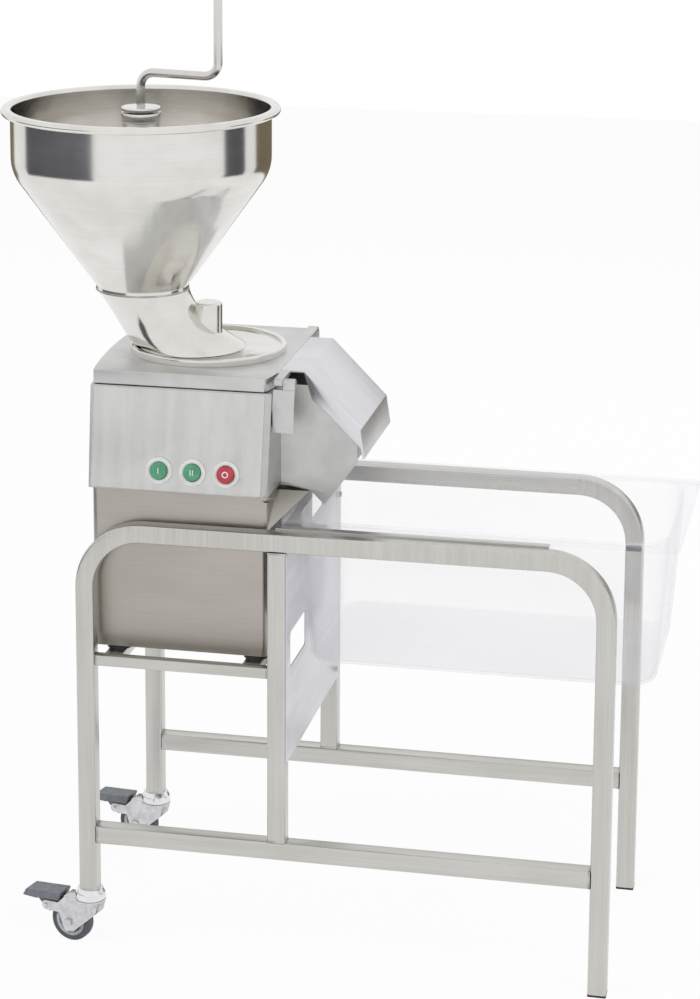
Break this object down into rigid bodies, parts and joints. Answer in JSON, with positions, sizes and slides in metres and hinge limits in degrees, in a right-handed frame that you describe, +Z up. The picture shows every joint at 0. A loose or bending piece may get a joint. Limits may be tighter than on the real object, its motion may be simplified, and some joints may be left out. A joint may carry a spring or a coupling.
{
  "type": "vegetable cutting machine",
  "caption": "Continuous vegetable cutter with a round hopper, leaning feed tube and side chute, on a wheeled tube stand with a clear container.",
  "frame": {"origin": "on the floor under the middle of the object's bounding box", "axes": "+Z up, +X along the stand from the machine towards the container's free end, +Y from the push-button side to the rear"},
  "size_m": [0.9509, 0.4155, 1.34],
  "materials": {
    "frame_steel": "satin brushed stainless tube",
    "body_steel": "brushed stainless sheet",
    "housing_metal": "satin bead-blasted casting",
    "lid_metal": "satin cast metal",
    "panel_metal": "satin plate",
    "polished_steel": "polished stainless",
    "divider_metal": "pale satin sheet",
    "rod_steel": "polished stainless rod",
    "zinc": "bright zinc",
    "tyre_rubber": "matt grey rubber",
    "hub_plastic": "matt",
    "pedal_plastic": "matt",
    "black_rubber": "matt",
    "bezel_plastic": "satin",
    "green_plastic": "satin",
    "red_plastic": "satin",
    "clear_plastic": "clear polycarbonate",
    "cutter_steel": "ground stainless",
    "cast_alloy": "as cast",
    "motor_paint": "matt",
    "sensor_plastic": "matt"
  },
  "bodies": {
    "stand": {"near_hoop": "frame_steel", "far_hoop": "frame_steel", "near_post": "frame_steel", "far_post": "frame_steel", "near_lower_rail": "frame_steel", "far_lower_rail": "frame_steel", "near_shelf_rail": "frame_steel", "far_shelf_rail": "frame_steel", "left_shelf_bar": "frame_steel", "right_shelf_bar": "frame_steel", "post_tie": "frame_steel", "divider_panel": "divider_metal", "near_pan_runner": "frame_steel", "far_pan_runner": "frame_steel", "near_glide": "black_rubber", "far_glide": "black_rubber", "near_caster_head": "zinc", "far_caster_head": "zinc", "base_shell": "body_steel", "base_floor": "body_steel", "near_left_foot": "black_rubber", "near_right_foot": "black_rubber", "far_left_foot": "black_rubber", "far_right_foot": "black_rubber", "upper_housing": "housing_metal", "control_panel": "panel_metal", "start_bezel": "bezel_plastic", "fast_bezel": "bezel_plastic", "stop_bezel": "bezel_plastic", "motor": "motor_paint", "motor_flange": "cast_alloy", "latch_sensor": "sensor_plastic", "left_hinge_bracket": "lid_metal", "right_hinge_bracket": "lid_metal"},
    "lid": {"lid_plate": "lid_metal", "discharge_hood": "lid_metal", "feed_flange": "polished_steel", "feed_tube": "polished_steel", "hopper_bowl": "polished_steel", "hopper_cone": "polished_steel", "agitator_column": "polished_steel"},
    "latch": {"latch_tab": "lid_metal"},
    "rotor": {"drive_shaft": "cutter_steel", "ejector_disc": "cast_alloy", "slicing_disc": "cutter_steel", "disc_cap": "cast_alloy"},
    "agitator": {"agitator_rod": "rod_steel", "agitator_cap": "polished_steel"},
    "start_button": {"start_button": "green_plastic"},
    "fast_button": {"fast_button": "green_plastic"},
    "stop_button": {"stop_button": "red_plastic"},
    "near_caster": {"near_caster_fork": "zinc"},
    "far_caster": {"far_caster_fork": "zinc"},
    "near_wheel": {"near_wheel_hub": "hub_plastic", "near_wheel_tyre": "tyre_rubber"},
    "far_wheel": {"far_wheel_hub": "hub_plastic", "far_wheel_tyre": "tyre_rubber"},
    "near_pedal": {"near_brake_pedal": "pedal_plastic"},
    "far_pedal": {"far_brake_pedal": "pedal_plastic"},
    "container": {"pan": "clear_plastic"}
  },
  "joints": [
    {"name": "lid_hinge", "type": "hinge", "parent": "stand", "child": "lid", "pos_m": [-0.191, 0.1533, 0.803], "axis": [-1, 0, 0], "range_deg": [0, 70]},
    {"name": "latch_hinge", "type": "hinge", "parent": "lid", "child": "latch", "pos_m": [-0.052, -0.1497, 0.811], "axis": [-1, 0, 0], "range_deg": [0, 80]},
    {"name": "rotor_spin", "type": "hinge", "parent": "stand", "child": "rotor", "pos_m": [-0.191, -0.0087, 0.75], "axis": [0, 0, 1], "continuous": true},
    {"name": "agitator_spin", "type": "hinge", "parent": "lid", "child": "agitator", "pos_m": [-0.2845, -0.0087, 1.14], "axis": [0, 0, 1], "continuous": true},
    {"name": "start_press", "type": "slide", "parent": "stand", "child": "start_button", "axis": [0, 0.978, -0.2085], "range_m": [0, 0.003], "stiffness_N_per_m": 400},
    {"name": "fast_press", "type": "slide", "parent": "stand", "child": "fast_button", "axis": [0, 0.978, -0.2085], "range_m": [0, 0.003], "stiffness_N_per_m": 400},
    {"name": "stop_press", "type": "slide", "parent": "stand", "child": "stop_button", "axis": [0, 0.978, -0.2085], "range_m": [0, 0.003], "stiffness_N_per_m": 400},
    {"name": "near_caster_swivel", "type": "hinge", "parent": "stand", "child": "near_caster", "pos_m": [-0.3195, -0.1862, 0.066], "axis": [0, 0, 1], "continuous": true},
    {"name": "near_wheel_spin", "type": "hinge", "parent": "near_caster", "child": "near_wheel", "pos_m": [-0.34764, -0.17918, 0.03], "axis": [0.2419, 0.9703, 0], "continuous": true},
    {"name": "near_brake_press", "type": "hinge", "parent": "near_caster", "child": "near_pedal", "pos_m": [-0.38257, -0.17047, 0.048], "axis": [-0.2419, -0.9703, 0], "range_deg": [0, 12]},
    {"name": "far_caster_swivel", "type": "hinge", "parent": "stand", "child": "far_caster", "pos_m": [-0.3195, 0.1688, 0.066], "axis": [0, 0, 1], "continuous": true},
    {"name": "far_wheel_spin", "type": "hinge", "parent": "far_caster", "child": "far_wheel", "pos_m": [-0.34764, 0.17582, 0.03], "axis": [0.2419, 0.9703, 0], "continuous": true},
    {"name": "far_brake_press", "type": "hinge", "parent": "far_caster", "child": "far_pedal", "pos_m": [-0.38257, 0.18452, 0.048], "axis": [-0.2419, -0.9703, 0], "range_deg": [0, 12]},
    {"name": "container_slide", "type": "slide", "parent": "stand", "child": "container", "axis": [1, 0, 0], "range_m": [0, 0.4]}
  ]
}
